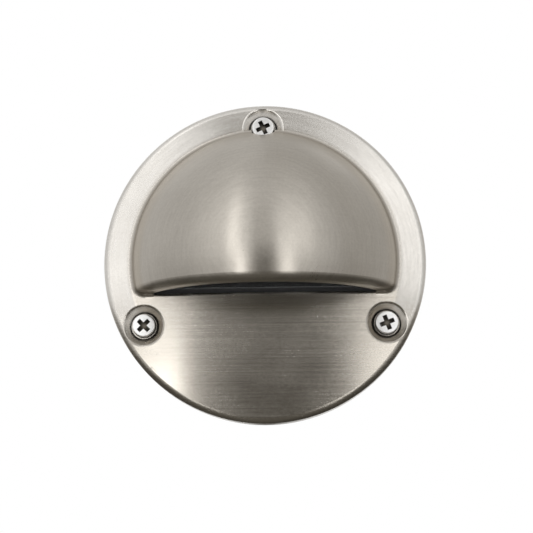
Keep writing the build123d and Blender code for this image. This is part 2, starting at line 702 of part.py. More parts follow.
def reflector_screws():
    seat = REFLECTOR_BACK + REFLECTOR_SHEET
    return [at(place) * fixing_screw(seat, REFLECTOR_SHEET) for place in reflector_places()]


def lampholder_screws():
    length = HOLDER_LENGTH - FIX_HEAD_HEIGHT
    screw = fixing_screw(0, length + BRACKET_SHEET - FIX_BITE)
    x = HOLDER_FACE_X - FIX_HEAD_HEIGHT
    return [along_x(x, y, LAMP_Z) * screw for y in holder_screw_places()]


def terminal_fixing_screw():
    seat = BLOCK_TOP - FIX_HEAD_HEIGHT
    return at(block_place()) * fixing_screw(seat, seat - PLATE_FRONT)


PARTS = {
    "front_cover": front_cover,
    "window_glass": window_glass,
    "window_seal": window_seal,
    "base_plate": base_plate,
    "wall_gasket": wall_gasket,
    "cover_o_ring": cover_o_ring,
    "threaded_inserts": threaded_inserts,
    "cable_grommet": cable_grommet,
    "lampholder_bracket": lampholder_bracket,
    "bracket_screws": bracket_screws,
    "lampholder": lampholder,
    "lampholder_contacts": lampholder_contacts,
    "lampholder_screws": lampholder_screws,
    "lamp_envelope": lamp_envelope,
    "lamp_pins": lamp_pins,
    "lamp_filament": lamp_filament,
    "reflector": reflector,
    "reflector_screws": reflector_screws,
    "terminal_block": terminal_block,
    "terminal_clamps": terminal_clamps,
    "terminal_screws": terminal_screws,
    "terminal_fixing_screw": terminal_fixing_screw,
    "lead_inner": inner_lead,
    "lead_outer": outer_lead,
}


def write(name, shape):
    pieces = shape if isinstance(shape, list) else [shape]
    solids = [STAND_UP * solid for piece in pieces for solid in piece.solids()]
    export_step(Compound(children=solids) if len(solids) > 1 else solids[0], f"parts/{name}.step")


os.makedirs("parts", exist_ok=True)
for part_name, make in PARTS.items():
    write(part_name, make())
for screw_name in SCREW_PLACES:
    write(f"cover_screw_{screw_name}", cover_screw(screw_name))
    write(f"screw_seal_{screw_name}", screw_seal(screw_name))
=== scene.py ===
import json
from math import cos, pi, radians, sin

import bmesh
import bpy
from mathutils import Matrix, Vector


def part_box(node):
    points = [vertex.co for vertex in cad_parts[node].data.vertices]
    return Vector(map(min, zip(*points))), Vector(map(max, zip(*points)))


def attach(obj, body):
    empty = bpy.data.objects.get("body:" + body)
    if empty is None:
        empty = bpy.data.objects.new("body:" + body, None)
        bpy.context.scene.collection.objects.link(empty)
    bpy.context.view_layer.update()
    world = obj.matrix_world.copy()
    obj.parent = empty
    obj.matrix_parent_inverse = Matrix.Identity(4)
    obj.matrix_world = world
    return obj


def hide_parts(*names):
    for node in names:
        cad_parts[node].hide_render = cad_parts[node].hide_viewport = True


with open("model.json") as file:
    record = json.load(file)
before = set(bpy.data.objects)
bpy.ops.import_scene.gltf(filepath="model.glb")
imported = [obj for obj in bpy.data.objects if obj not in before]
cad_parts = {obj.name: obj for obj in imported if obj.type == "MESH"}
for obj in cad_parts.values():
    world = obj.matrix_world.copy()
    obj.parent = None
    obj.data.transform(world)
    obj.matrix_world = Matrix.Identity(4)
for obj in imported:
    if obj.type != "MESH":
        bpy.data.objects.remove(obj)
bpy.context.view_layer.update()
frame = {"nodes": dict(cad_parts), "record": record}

nodes = frame["nodes"]
scene = bpy.context.scene
scene.view_settings.view_transform = "Standard"

MM = 0.001

# Camera: the place found by fitting the rim, the lid's base and the three screw heads
PHOTO_PIXELS = 533
CAMERA_TARGET = Vector((0.0, -9.0, 0.0)) * MM
CAMERA_AZIMUTH = 1.483
CAMERA_ELEVATION = -9.852
CAMERA_ROLL = -0.595
CAMERA_DISTANCE = 350.0 * MM
CAMERA_FOCAL = 70.14
CAMERA_SENSOR = 36.0
CAMERA_NEAREST = 10.0 * MM
CAMERA_OFFSET = (2.2, -6.9)


def direction(azimuth, elevation):
    """The way from the object to a place; azimuth 0 is straight out of the wall."""
    a, e = radians(azimuth), radians(elevation)
    return Vector((sin(a) * cos(e), -cos(a) * cos(e), sin(e)))


def aim(obj, place, back, roll=0.0):
    """Puts an object at a place, with its own z axis along back and its x axis level before the roll."""
    level = Vector((0, 0, 1)).cross(back).normalized()
    right = Matrix.Rotation(radians(roll), 3, back) @ level
    up = back.cross(right)
    obj.matrix_world = Matrix.Translation(place) @ Matrix((right, up, back)).transposed().to_4x4()


def make_camera():
    data = bpy.data.cameras.new("camera")
    data.lens = CAMERA_FOCAL
    data.sensor_width = CAMERA_SENSOR
    data.shift_x = CAMERA_OFFSET[0] / PHOTO_PIXELS
    data.shift_y = CAMERA_OFFSET[1] / PHOTO_PIXELS
    data.clip_start = CAMERA_NEAREST
    camera = bpy.data.objects.new("camera", data)
    scene.collection.objects.link(camera)
    back = direction(CAMERA_AZIMUTH, CAMERA_ELEVATION)
    aim(camera, CAMERA_TARGET + back * CAMERA_DISTANCE, back, CAMERA_ROLL)
    scene.camera = camera


# Node building


def add(tree, kind, inputs=None, **settings):
    """A node with its settings, and its inputs linked or set."""
    made = tree.nodes.new(kind)
    for key, value in settings.items():
        setattr(made, key, value)
    for key, value in (inputs or {}).items():
        if isinstance(value, bpy.types.NodeSocket):
            tree.links.new(value, made.inputs[key])
        else:
            made.inputs[key].default_value = value
    return made


def calc(tree, operation, *values):
    return add(tree, "ShaderNodeMath", dict(enumerate(values)), operation=operation).outputs[0]


def vector(tree, operation, *values):
    """The outputs of a sum on vectors."""
    return add(tree, "ShaderNodeVectorMath", dict(enumerate(values)), operation=operation).outputs


def split(tree, place):
    return add(tree, "ShaderNodeSeparateXYZ", {0: place}).outputs


def combined(tree, x, y, z):
    return add(tree, "ShaderNodeCombineXYZ", {0: x, 1: y, 2: z}).outputs[0]


def ramp(tree, value, low, high, start=0.0, end=1.0, kind="SMOOTHSTEP"):
    """A value carried from low..high to start..end."""
    inputs = {"Value": value, "From Min": low, "From Max": high, "To Min": start, "To Max": end}
    return add(tree, "ShaderNodeMapRange", inputs, interpolation_type=kind).outputs["Result"]


def weighed(tree, share, first, second):
    """A fixed share of the first value, and the rest of the second."""
    return calc(tree, "MULTIPLY_ADD", first, share, calc(tree, "MULTIPLY", second, 1.0 - share))


def mixed(tree, share, first, second):
    """Two colours mixed by a share; a colour mix has them on sockets 6 and 7."""
    inputs = {"Factor": share, 6: first, 7: second}
    return add(tree, "ShaderNodeMix", inputs, data_type="RGBA").outputs[2]


def either(tree, share, first, second):
    """Two vectors mixed by a share; a vector mix has them on sockets 4 and 5."""
    inputs = {"Factor": share, 4: first, 5: second}
    return add(tree, "ShaderNodeMix", inputs, data_type="VECTOR").outputs[1]


def colour(value):
    return (*value, 1.0)


def even(scale):
    return (scale, scale, scale)


def own_place(tree):
    """The place on the object, in metres along its own axes."""
    return add(tree, "ShaderNodeTexCoord").outputs["Object"]


def noise(tree, place, detail, roughness):
    inputs = {"Vector": place, "Scale": 1.0, "Detail": detail, "Roughness": roughness}
    return add(tree, "ShaderNodeTexNoise", inputs).outputs["Fac"]


def grain(tree, scale, detail=3.0, roughness=0.55):
    """Noise with features of one unit over scale, in metres, along each axis of the object."""
    moved = add(tree, "ShaderNodeMapping", {"Vector": own_place(tree), "Scale": scale}).outputs["Vector"]
    return noise(tree, moved, detail, roughness)


def blank(name):
    """A new node material, its tree and its shader."""
    material = bpy.data.materials.new(name)
    material.use_nodes = True
    return material, material.node_tree, material.node_tree.nodes["Principled BSDF"]


def relief(tree, shader, height, strength, depth):
    bump = add(tree, "ShaderNodeBump", {"Height": height, "Strength": strength, "Distance": depth})
    tree.links.new(bump.outputs["Normal"], shader.inputs["Normal"])
    return bump


# Grained finishes. The middle of a noise, where most of its values lie, is spread over the whole blend.

NOISE_SPAN = (0.3, 0.7)
FINE_DETAIL = 4.0
FINE_STRENGTH = 0.6
PATCH_GRAIN = even(30.0)
PATCH_DETAIL = 3.0
PATCH_ROUGHNESS = 0.6
PATCH_SHARE = 0.5


def surface(name, shades, scale, gloss, depth, metallic=0.0, subsurface=0.0):
    """A grained material: fine noise for colour, gloss and relief, and broad patches of wear."""
    material, tree, shader = blank(name)
    shader.inputs["Metallic"].default_value = metallic
    shader.inputs["Subsurface Weight"].default_value = subsurface
    fine = grain(tree, scale, FINE_DETAIL)
    broad = grain(tree, PATCH_GRAIN, PATCH_DETAIL, PATCH_ROUGHNESS)
    both = ramp(tree, weighed(tree, PATCH_SHARE, broad, fine), *NOISE_SPAN)
    tree.links.new(mixed(tree, both, colour(shades[0]), colour(shades[1])), shader.inputs["Base Color"])
    tree.links.new(ramp(tree, both, 0.0, 1.0, *gloss), shader.inputs["Roughness"])
    relief(tree, shader, fine, FINE_STRENGTH, depth)
    return material


# The brushed cover: the places where its finish changes, and the widths of the changes
SLOT_HEIGHT = -11.1 * MM
SLOT_EDGE = 0.3 * MM
LID_FOOT = 45.0 * MM
LID_EDGE = 1.0 * MM
RING_EDGE = 2.0 * MM
RING_ENDS = (-32.0 * MM, -8.0 * MM)

# Its shades, the ring's set brighter than the steel's own as a painted highlight, and its gloss, which is
# duller on the lid
FACE_SHADES = ((0.50, 0.464, 0.411), (0.61, 0.571, 0.512))
RING_SHADES = ((0.70, 0.670, 0.624), (0.84, 0.811, 0.766))
COVER_GLOSS = (0.20, 0.30)
COVER_ANISOTROPY = 0.8
LID_ROUGHER = 0.1
WEAR_SPAN = (0.32, 0.68)

# Its lines, fine across and long along, and the share of turned ones on the lid
LEVEL_ALONG = 14.0
LEVEL_ACROSS = 1700.0
TURNED_ALONG = 3.0
TURNED_ACROSS = 750.0
LID_TURNED = 0.7
LINE_DETAIL = 5.0
LINE_ROUGHNESS = 0.72
LINE_SHARE = 0.7
LINE_STRENGTH = 0.4
LINE_DEPTH = 0.003 * MM

# Its specks and smudges
SPECK_GRAIN = even(1300.0)
SPECK_DETAIL = 2.0
SPECK_ROUGHNESS = 0.5
SMUDGE_GRAIN = (40.0, 40.0, 55.0)
SMUDGE_DETAIL = 3.0
SMUDGE_ROUGHNESS = 0.5
SMUDGE_SHARE = 0.5

# The way its reflections stretch, upright or outward with a slight lean, and how far a normal may stray
UPRIGHT = (0.0, 0.0, 1.0)
RING_LEAN = (0.0, -0.05, 0.0)
SOUND_NORMAL = (0.965, 0.985)


def cover_finish():
    """Brushed stainless sheet: level lines below the slot, and lines round the middle elsewhere."""
    material, tree, shader = blank("cover_steel")
    shader.inputs["Metallic"].default_value = 1.0
    shader.inputs["Anisotropic"].default_value = COVER_ANISOTROPY
    x, y, z = split(tree, own_place(tree))
    flat = combined(tree, x, 0.0, z)
    outward = vector(tree, "NORMALIZE", flat)[0]
    radius = vector(tree, "LENGTH", flat)["Value"]
    side_x, _, side_z = split(tree, outward)
    ring = calc(tree, "MULTIPLY", ramp(tree, radius, LID_FOOT, LID_FOOT + RING_EDGE),
                ramp(tree, z, *RING_ENDS))
    lid = calc(tree, "MULTIPLY", ramp(tree, z, SLOT_HEIGHT - SLOT_EDGE, SLOT_HEIGHT),
               ramp(tree, radius, LID_FOOT + LID_EDGE, LID_FOOT, 0.0, LID_TURNED))
    turned_share = calc(tree, "MAXIMUM", ring, lid)

    level = combined(tree, calc(tree, "MULTIPLY", x, LEVEL_ALONG), 0.0,
                     calc(tree, "MULTIPLY", z, LEVEL_ACROSS))
    way = calc(tree, "MULTIPLY", calc(tree, "ADD", radius, y), TURNED_ACROSS)
    rings = combined(tree, calc(tree, "MULTIPLY", side_x, TURNED_ALONG), way,
                     calc(tree, "MULTIPLY", side_z, TURNED_ALONG))
    level_lines = noise(tree, level, LINE_DETAIL, LINE_ROUGHNESS)
    turned_lines = noise(tree, rings, LINE_DETAIL, LINE_ROUGHNESS)
    level_share = calc(tree, "SUBTRACT", 1.0, turned_share)
    lines = calc(tree, "ADD", calc(tree, "MULTIPLY", level_lines, level_share),
                 calc(tree, "MULTIPLY", turned_lines, turned_share))
    specks = grain(tree, SPECK_GRAIN, SPECK_DETAIL, SPECK_ROUGHNESS)
    smudges = grain(tree, SMUDGE_GRAIN, SMUDGE_DETAIL, SMUDGE_ROUGHNESS)

    tone = weighed(tree, LINE_SHARE, lines, specks)
    share = ramp(tree, tone, *NOISE_SPAN)
    brushed = mixed(tree, share, colour(FACE_SHADES[0]), colour(FACE_SHADES[1]))
    # The ring is burnished, and its shades are also lifted above the steel's own: partly a painted
    # highlight
    burnished_and_sheen = mixed(tree, share, colour(RING_SHADES[0]), colour(RING_SHADES[1]))
    tree.links.new(mixed(tree, ring, brushed, burnished_and_sheen), shader.inputs["Base Color"])
    worn = weighed(tree, SMUDGE_SHARE, smudges, tone)
    rough = calc(tree, "MULTIPLY_ADD", lid, LID_ROUGHER, ramp(tree, worn, *WEAR_SPAN, *COVER_GLOSS))
    tree.links.new(rough, shader.inputs["Roughness"])

    # A corner's normal that strays from its face gives way to the face's own
    bump = relief(tree, shader, tone, LINE_STRENGTH, LINE_DEPTH)
    facing = add(tree, "ShaderNodeNewGeometry").outputs
    agree = vector(tree, "DOT_PRODUCT", facing["Normal"], facing["True Normal"])["Value"]
    sound = ramp(tree, agree, *SOUND_NORMAL)
    tree.links.new(either(tree, sound, facing["True Normal"], facing["Normal"]), bump.inputs["Normal"])

    # Reflections stretch outward on the ring, across its lines, and upright elsewhere
    across = vector(tree, "ADD", outward, RING_LEAN)[0]
    tree.links.new(either(tree, ring, UPRIGHT, across), shader.inputs["Tangent"])
    return material


# The screws' driver recess: painted shade, from its lighter middle out to its dark walls

# The lighter and the darker painted shade of the recess
RECESS_SHADES = ((0.22, 0.195, 0.16), (0.045, 0.039, 0.031))
RECESS_METALLIC = 0.6
RECESS_SPAN = (0.6 * MM, 1.9 * MM)
RECESS_RAGGED = 0.9 * MM
RECESS_GLOSS = (0.45, 0.75)
RECESS_GRAIN = even(2600.0)
RECESS_DETAIL = 4.0
RECESS_NOISE_ROUGHNESS = 0.6
RECESS_BUMP_STRENGTH = 0.5
RECESS_BUMP_DEPTH = 0.02 * MM


def recess_finish():
    """The driver recess, with painted shade that darkens it towards its walls and leaves its middle
    lighter.
    """
    material, tree, shader = blank("screw_recess")
    shader.inputs["Metallic"].default_value = RECESS_METALLIC
    x, y, _ = split(tree, own_place(tree))
    far = vector(tree, "LENGTH", combined(tree, x, y, 0.0))["Value"]
    recess_noise = grain(tree, RECESS_GRAIN, RECESS_DETAIL, RECESS_NOISE_ROUGHNESS)
    # Painted shade: darker out towards the walls, with a ragged edge from the noise
    share = ramp(tree, calc(tree, "MULTIPLY_ADD", recess_noise, RECESS_RAGGED, far), *RECESS_SPAN)
    shade = mixed(tree, share, colour(RECESS_SHADES[0]), colour(RECESS_SHADES[1]))
    tree.links.new(shade, shader.inputs["Base Color"])
    tree.links.new(ramp(tree, recess_noise, *NOISE_SPAN, *RECESS_GLOSS), shader.inputs["Roughness"])
    relief(tree, shader, recess_noise, RECESS_BUMP_STRENGTH, RECESS_BUMP_DEPTH)
    return material


GLASS_IOR = 1.5
DUST_GRAIN = even(160.0)
DUST_DETAIL = 6.0
DUST_ROUGHNESS = 0.65
DUST_SPAN = (0.35, 0.75)
RIPPLE_GRAIN = even(40.0)
RIPPLE_STRENGTH = 0.3
RIPPLE_DEPTH = 0.02 * MM


def clear_glass(name, tint, gloss):
    """Clear glass with faint ripples and a film of dust."""
    material, tree, shader = blank(name)
    shader.inputs["Transmission Weight"].default_value = 1.0
    shader.inputs["IOR"].default_value = GLASS_IOR
    dust = ramp(tree, grain(tree, DUST_GRAIN, DUST_DETAIL, DUST_ROUGHNESS), *DUST_SPAN)
    tree.links.new(mixed(tree, dust, colour(tint[0]), colour(tint[1])), shader.inputs["Base Color"])
    tree.links.new(ramp(tree, dust, 0.0, 1.0, *gloss), shader.inputs["Roughness"])
    relief(tree, shader, grain(tree, RIPPLE_GRAIN), RIPPLE_STRENGTH, RIPPLE_DEPTH)
    return material


# Each grained finish: two shades, grain per metre, roughness at each shade, and depth of the relief
GRAINED = {
    "screw_steel": dict(
        shades=((0.88, 0.87, 0.855), (0.96, 0.955, 0.945)), scale=even(1500), gloss=(0.30, 0.38),
        depth=0.003 * MM, metallic=1.0),
    "zinc_steel": dict(
        shades=((0.50, 0.51, 0.52), (0.66, 0.67, 0.68)), scale=even(500), gloss=(0.30, 0.48),
        depth=0.01 * MM, metallic=1.0),
    "black_rubber": dict(
        shades=((0.018, 0.018, 0.019), (0.042, 0.042, 0.043)), scale=even(1400), gloss=(0.62, 0.85),
        depth=0.03 * MM),
    "seal_silicone": dict(
        shades=((0.030, 0.030, 0.032), (0.060, 0.060, 0.062)), scale=even(1100), gloss=(0.45, 0.62),
        depth=0.015 * MM),
    "base_moulding": dict(
        shades=((0.050, 0.051, 0.053), (0.085, 0.086, 0.088)), scale=even(1800), gloss=(0.42, 0.60),
        depth=0.02 * MM),
    "brass": dict(
        shades=((0.62, 0.43, 0.16), (0.80, 0.60, 0.28)), scale=even(700), gloss=(0.22, 0.42),
        depth=0.008 * MM, metallic=1.0),
    "ceramic": dict(
        shades=((0.72, 0.69, 0.63), (0.82, 0.80, 0.75)), scale=even(1300), gloss=(0.42, 0.66),
        depth=0.02 * MM),
    "bright_aluminium": dict(
        shades=((0.78, 0.78, 0.79), (0.88, 0.88, 0.89)), scale=(120, 120, 900), gloss=(0.10, 0.24),
        depth=0.006 * MM, metallic=1.0),
    "ivory_plastic": dict(
        shades=((0.70, 0.66, 0.55), (0.79, 0.76, 0.66)), scale=even(1500), gloss=(0.32, 0.50),
        depth=0.012 * MM, subsurface=0.15),
    "lead_sleeve": dict(
        shades=((0.62, 0.61, 0.58), (0.80, 0.79, 0.76)), scale=even(2600), gloss=(0.62, 0.85),
        depth=0.08 * MM),
    "lamp_wire": dict(
        shades=((0.38, 0.38, 0.40), (0.52, 0.52, 0.54)), scale=even(2500), gloss=(0.24, 0.44),
        depth=0.004 * MM, metallic=1.0),
}

# Each glass: its clean and its dusty tint, and its roughness at each
GLASSES = {
    "window_glass": dict(tint=((0.97, 0.99, 0.98), (0.90, 0.92, 0.91)), gloss=(0.02, 0.14)),
    "lamp_glass": dict(tint=((0.99, 0.99, 0.99), (0.95, 0.95, 0.95)), gloss=(0.0, 0.05)),
}


def make_materials():
    made = {name: surface(name, **finish) for name, finish in GRAINED.items()}
    made.update({name: clear_glass(name, **finish) for name, finish in GLASSES.items()})
    made["cover_steel"] = cover_finish()
    made["screw_recess"] = recess_finish()
    return made


# Pieces that carry more detail than the solids they stand for. The screws' sizes are in millimetres.

HEAD_RADIUS = 3.75
HEAD_HEIGHT = 2.1
HEAD_CHAMFER = 0.15
HEAD_ROUND = 0.35
HEAD_DOME = 0.08
SHANK_RADIUS = 1.95
SHANK_ROOT = 0.2
THREAD_DEPTH = 0.4
THREAD_PITCH = 0.7
THREAD_SLOPE = 1.25
THREAD_FLAT = 0.1

# The driver recess, how far each screw was turned in degrees, and the margins that find its faces
CROSS_HALF_LENGTH = 2.5
CROSS_HALF_WIDTH = 0.74
CROSS_DEPTH = 1.6
CROSS_FLOOR_SHARE = 0.75
CROSS_WIDTH_TAPER = 0.3
CROSS_ABOVE = 0.5
CROSS_TURNS = {"top": 25.0, "left": 45.0, "right": 20.0}
FLOOR_MARGIN = 0.05
MOUTH_MARGIN = 0.02
SIDE_MARGIN = 0.1

# How finely the round forms are divided, and the angle in degrees from which an edge is crisp
ROUND_STEPS = 96
SHOULDER_ROWS = 8
DOME_ROWS = 6
THREAD_ROWS = 12
THREAD_STEPS = 64
SHARP_ANGLE = 35.0


def mesh_piece(name, vertices, faces):
    mesh = bpy.data.meshes.new(name)
    mesh.from_pydata(vertices, [], faces)
    mesh.update()
    piece = bpy.data.objects.new(name, mesh)
    scene.collection.objects.link(piece)
    return piece


def turned(profile):
    """The points and faces of a profile of (radius, height) turned about z, closed at both ends."""
    steps = ROUND_STEPS
    vertices, faces = [], []
    for radius, height in profile:
        for step in range(steps):
            a = 2 * pi * step / steps
            vertices.append((radius * cos(a), radius * sin(a), height))
    for row in range(len(profile) - 1):
        for step in range(steps):
            following = (step + 1) % steps
            low, high = row * steps, (row + 1) * steps
            faces.append((low + step, low + following, high + following, high + step))
    faces.append(tuple(reversed(range(steps))))
    faces.append(tuple(range((len(profile) - 1) * steps, len(profile) * steps)))
    return vertices, faces


def head_profile():
    """A pan head: a slightly domed top and a rounded shoulder."""
    points = [(HEAD_RADIUS - HEAD_CHAMFER, 0.0), (HEAD_RADIUS, HEAD_CHAMFER)]
    shoulder = HEAD_RADIUS - HEAD_ROUND
    low = HEAD_HEIGHT - HEAD_DOME - HEAD_ROUND
    for step in range(SHOULDER_ROWS + 1):
        a = pi / 2 * step / SHOULDER_ROWS
        points.append((shoulder + HEAD_ROUND * cos(a), low + HEAD_ROUND * sin(a)))
    for step in range(1, DOME_ROWS):
        share = 1 - step / DOME_ROWS
        points.append((shoulder * share, HEAD_HEIGHT - HEAD_DOME * share**2))
    return points


def cross_cutter():
    """The tapered cross of the recess, from above the head down to its floor."""
    levels = ((HEAD_HEIGHT + CROSS_ABOVE, 1.0 + (1 - CROSS_FLOOR_SHARE) * CROSS_ABOVE / CROSS_DEPTH),
              (HEAD_HEIGHT - CROSS_DEPTH, CROSS_FLOOR_SHARE))
    vertices = []
    for height, share in levels:
        reach = CROSS_HALF_LENGTH * share
        half = CROSS_HALF_WIDTH * (1 - CROSS_WIDTH_TAPER + CROSS_WIDTH_TAPER * share)
        corners = [(reach, -half), (reach, half), (half, half)]
        for quarter in range(4):
            for x, y in corners:
                for _ in range(quarter):
                    x, y = -y, x
                vertices.append((x, y, height))
    count = len(vertices) // 2
    faces = [tuple(range(count)), tuple(reversed(range(count, 2 * count)))]
    for step in range(count):
        following = (step + 1) % count
        faces.append((step, count + step, count + following, following))
    return vertices, faces


def threaded_shank(length):
    """The shank, rooted in the head, with one helical thread that runs out at both ends."""
    steps = THREAD_STEPS
    rows = int(length / THREAD_PITCH * THREAD_ROWS)
    vertices, faces = [], []
    for row in range(rows + 1):
        z = SHANK_ROOT - (length + SHANK_ROOT) * row / rows
        fade = min(1.0, row / THREAD_ROWS, (rows - row) / THREAD_ROWS)
        for step in range(steps):
            turn = step / steps
            phase = (z / THREAD_PITCH - turn) % 1.0
            ridge = 1.0 - abs(2.0 * phase - 1.0)
            crest = min(1.0, max(0.0, THREAD_SLOPE * ridge - THREAD_FLAT))
            radius = SHANK_RADIUS - THREAD_DEPTH * (1.0 - crest * fade)
            vertices.append((radius * cos(2 * pi * turn), radius * sin(2 * pi * turn), z))
    for row in range(rows):
        for step in range(steps):
            following = (step + 1) % steps
            high, low = row * steps, (row + 1) * steps
            faces.append((low + step, low + following, high + following, high + step))
    tip = tuple(rows * steps + step for step in reversed(range(steps)))
    faces += [tip, tuple(range(steps))]
    return vertices, faces


def smooth(piece):
    """Smooth faces, with the edges sharper than the angle kept crisp."""
    for face in piece.data.polygons:
        face.use_smooth = True
    piece.data.set_sharp_from_angle(angle=radians(SHARP_ANGLE))


def in_recess(middle):
    """Whether the middle of a face of the head lies in the driver recess."""
    lowest = HEAD_HEIGHT - CROSS_DEPTH - FLOOR_MARGIN
    highest = HEAD_HEIGHT - HEAD_DOME - MOUTH_MARGIN
    return lowest < middle.z < highest and middle.xy.length < CROSS_HALF_LENGTH + SIDE_MARGIN


def make_screw(name, finish, recess):
    """A cover screw with a tapered recess and a real thread, where its solid is."""
    node = f"cover_screw_{name}"
    low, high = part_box(node)
    seat = low.y + HEAD_HEIGHT * MM
    head = mesh_piece(f"screw_{name}", *turned(head_profile()))
    cutter = mesh_piece(f"cutter_{name}", *cross_cutter())
    cutter.matrix_world = Matrix.Rotation(radians(CROSS_TURNS[name]), 4, "Z")
    bpy.context.view_layer.update()
    cut = head.modifiers.new("recess", "BOOLEAN")
    cut.operation, cut.object, cut.solver = "DIFFERENCE", cutter, "EXACT"
    shaped = bpy.data.meshes.new_from_object(head.evaluated_get(bpy.context.evaluated_depsgraph_get()))
    head.modifiers.clear()
    head.data = shaped
    bpy.data.objects.remove(cutter)
    head.data.materials.append(finish)
    head.data.materials.append(recess)
    for face in shaped.polygons:
        if in_recess(face.center):
            face.material_index = 1
    build = bmesh.new()
    build.from_mesh(shaped)
    shank, shank_faces = threaded_shank((high.y - low.y) / MM - HEAD_HEIGHT)
    corners = [build.verts.new(v) for v in shank]
    for face in shank_faces:
        build.faces.new([corners[i] for i in face])
    bmesh.ops.transform(build, matrix=Matrix.Scale(MM, 4), verts=build.verts)
    build.to_mesh(shaped)
    build.free()
    smooth(head)
    middle = (low + high) / 2
    head.matrix_world = Matrix.Translation((middle.x, seat, middle.z)) @ Matrix.Rotation(pi / 2, 4, "X")
    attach(head, node.replace("cover_screw", "screw"))
    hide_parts(node)


FILAMENT_TURNS = 16
FILAMENT_STEPS = 20
FILAMENT_WIRE = 0.09 * MM
FILAMENT_SIDES = 10
FILAMENT_COIL = 0.46 * MM
FILAMENT_LENGTH = 4.1 * MM
LEG_INSET = 0.2 * MM
LEG_GAP = 0.3 * MM
BEND_INSET = 0.1 * MM


def swept(points, radius, sides):
    """The points and faces of a round wire along a line of points."""
    vertices, faces = [], []
    side = None
    for index, point in enumerate(points):
        before = points[max(0, index - 1)]
        after = points[min(len(points) - 1, index + 1)]
        along = (after - before).normalized()
        if side is None:
            side = along.orthogonal()
        side = (side - along * side.dot(along)).normalized()
        other = along.cross(side)
        for step in range(sides):
            a = 2 * pi * step / sides
            vertices.append(point + (side * cos(a) + other * sin(a)) * radius)
    for row in range(len(points) - 1):
        for step in range(sides):
            following = (step + 1) % sides
            low, high = row * sides, (row + 1) * sides
            faces.append((low + step, low + following, high + following, high + step))
    faces.append(tuple(reversed(range(sides))))
    faces.append(tuple(range((len(points) - 1) * sides, len(points) * sides)))
    return vertices, faces


def make_filament(finish):
    """The wound filament between its two legs, in place of the plain bar."""
    low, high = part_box("lamp_filament")
    middle = (low + high) / 2
    start = high.x - LEG_INSET - FILAMENT_LENGTH
    line = [Vector((low.x, middle.y, low.z + LEG_INSET)),
            Vector((start - LEG_GAP, middle.y, low.z + LEG_INSET))]
    steps = FILAMENT_TURNS * FILAMENT_STEPS
    for step in range(steps + 1):
        a = 2 * pi * FILAMENT_TURNS * step / steps - pi / 2
        x = start + FILAMENT_LENGTH * step / steps
        line.append(Vector((x, middle.y + FILAMENT_COIL * cos(a), middle.z + FILAMENT_COIL * sin(a))))
    line.append(Vector((high.x - BEND_INSET, middle.y, high.z - LEG_INSET)))
    line.append(Vector((low.x, middle.y, high.z - LEG_INSET)))
    piece = mesh_piece("filament_coil", *swept(line, FILAMENT_WIRE, FILAMENT_SIDES))
    smooth(piece)
    piece.data.materials.append(finish)
    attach(piece, "lamp")
    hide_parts("lamp_filament")


def dress_nodes(finishes):
    """Gives every solid its finish by its slot in the record."""
    slots = {part["node"]: part["material_slot"] for part in frame["record"]["subparts"]}
    for name, obj in nodes.items():
        obj.data.materials.clear()
        obj.data.materials.append(finishes[slots[name]])


# The room: the degrees between which each part fades, then its levels where they aren't 0 and 1

ROOM_SIDES = (-40.0, 40.0, 0.68, 0.56)
ROOM_BELOW = (-20.0, -4.0, 0.13, 1.0)
FRONT_SIDES = (35.0, 75.0, 0.32, 0.0)
FRONT_TOP = (70.0, 35.0)
DARK_SIDES = (6.0, 12.0, 1.0, 0.0)
DARK_BOTTOM = (-24.0, -10.0)
DARK_TOP = (8.0, 16.0, 1.0, 0.0)
DARK_LEVEL = 0.08
BACK_SIDES = (120.0, 140.0)
BACK_BOTTOM = (-14.0, -8.0)
BACK_TOP = (70.0, 50.0)
BACK_LEVEL = 0.9
WARM_SPAN = (0.1, 0.7)
WARM = (1.0, 0.93, 0.80)
WHITE = (1.0, 1.0, 1.0)


def make_world():
    """A white background, and a grey studio round the object that its metal and glass show."""
    world = bpy.data.worlds.new("studio")
    scene.world = world
    world.use_nodes = True
    tree = world.node_tree
    ray = add(tree, "ShaderNodeLightPath").outputs
    x, y, z = split(tree, add(tree, "ShaderNodeTexCoord").outputs["Generated"])
    azimuth = calc(tree, "DEGREES", calc(tree, "ARCTAN2", x, calc(tree, "MULTIPLY", y, -1.0)))
    elevation = calc(tree, "DEGREES", calc(tree, "ARCSINE", z))
    aside = calc(tree, "ABSOLUTE", azimuth)

    front = calc(tree, "MULTIPLY", ramp(tree, aside, *FRONT_SIDES), ramp(tree, elevation, *FRONT_TOP))
    room = calc(tree, "ADD", ramp(tree, azimuth, *ROOM_SIDES), front)
    level = calc(tree, "MULTIPLY", room, ramp(tree, elevation, *ROOM_BELOW))

    # The dark round the camera
    tall = calc(tree, "MULTIPLY", ramp(tree, elevation, *DARK_BOTTOM), ramp(tree, elevation, *DARK_TOP))
    camera_side = calc(tree, "MULTIPLY", ramp(tree, aside, *DARK_SIDES), tall)
    dimmed = ramp(tree, camera_side, 0.0, 1.0, 1.0, DARK_LEVEL, "LINEAR")
    level = calc(tree, "MULTIPLY", level, dimmed)

    # The background is white to the camera and through glass, and behind the object in the metal too
    tall = calc(tree, "MULTIPLY", ramp(tree, elevation, *BACK_BOTTOM), ramp(tree, elevation, *BACK_TOP))
    behind = calc(tree, "MULTIPLY", ramp(tree, aside, *BACK_SIDES), tall)
    seen = calc(tree, "MAXIMUM", ray["Is Camera Ray"], ray["Is Transmission Ray"])
    seen = calc(tree, "MAXIMUM", seen, calc(tree, "MULTIPLY", ray["Is Glossy Ray"], behind))
    level = calc(tree, "MAXIMUM", level, calc(tree, "MULTIPLY", behind, BACK_LEVEL))
    level = calc(tree, "MAXIMUM", level, seen)

    background = tree.nodes["Background"]
    shade = mixed(tree, ramp(tree, level, *WARM_SPAN), colour(WARM), colour(WHITE))
    tree.links.new(shade, background.inputs["Color"])
    tree.links.new(level, background.inputs["Strength"])


# Lamps and a card in one plane in front of the wall: their left, right, low and high edges in
# millimetres, and each lamp's radiance

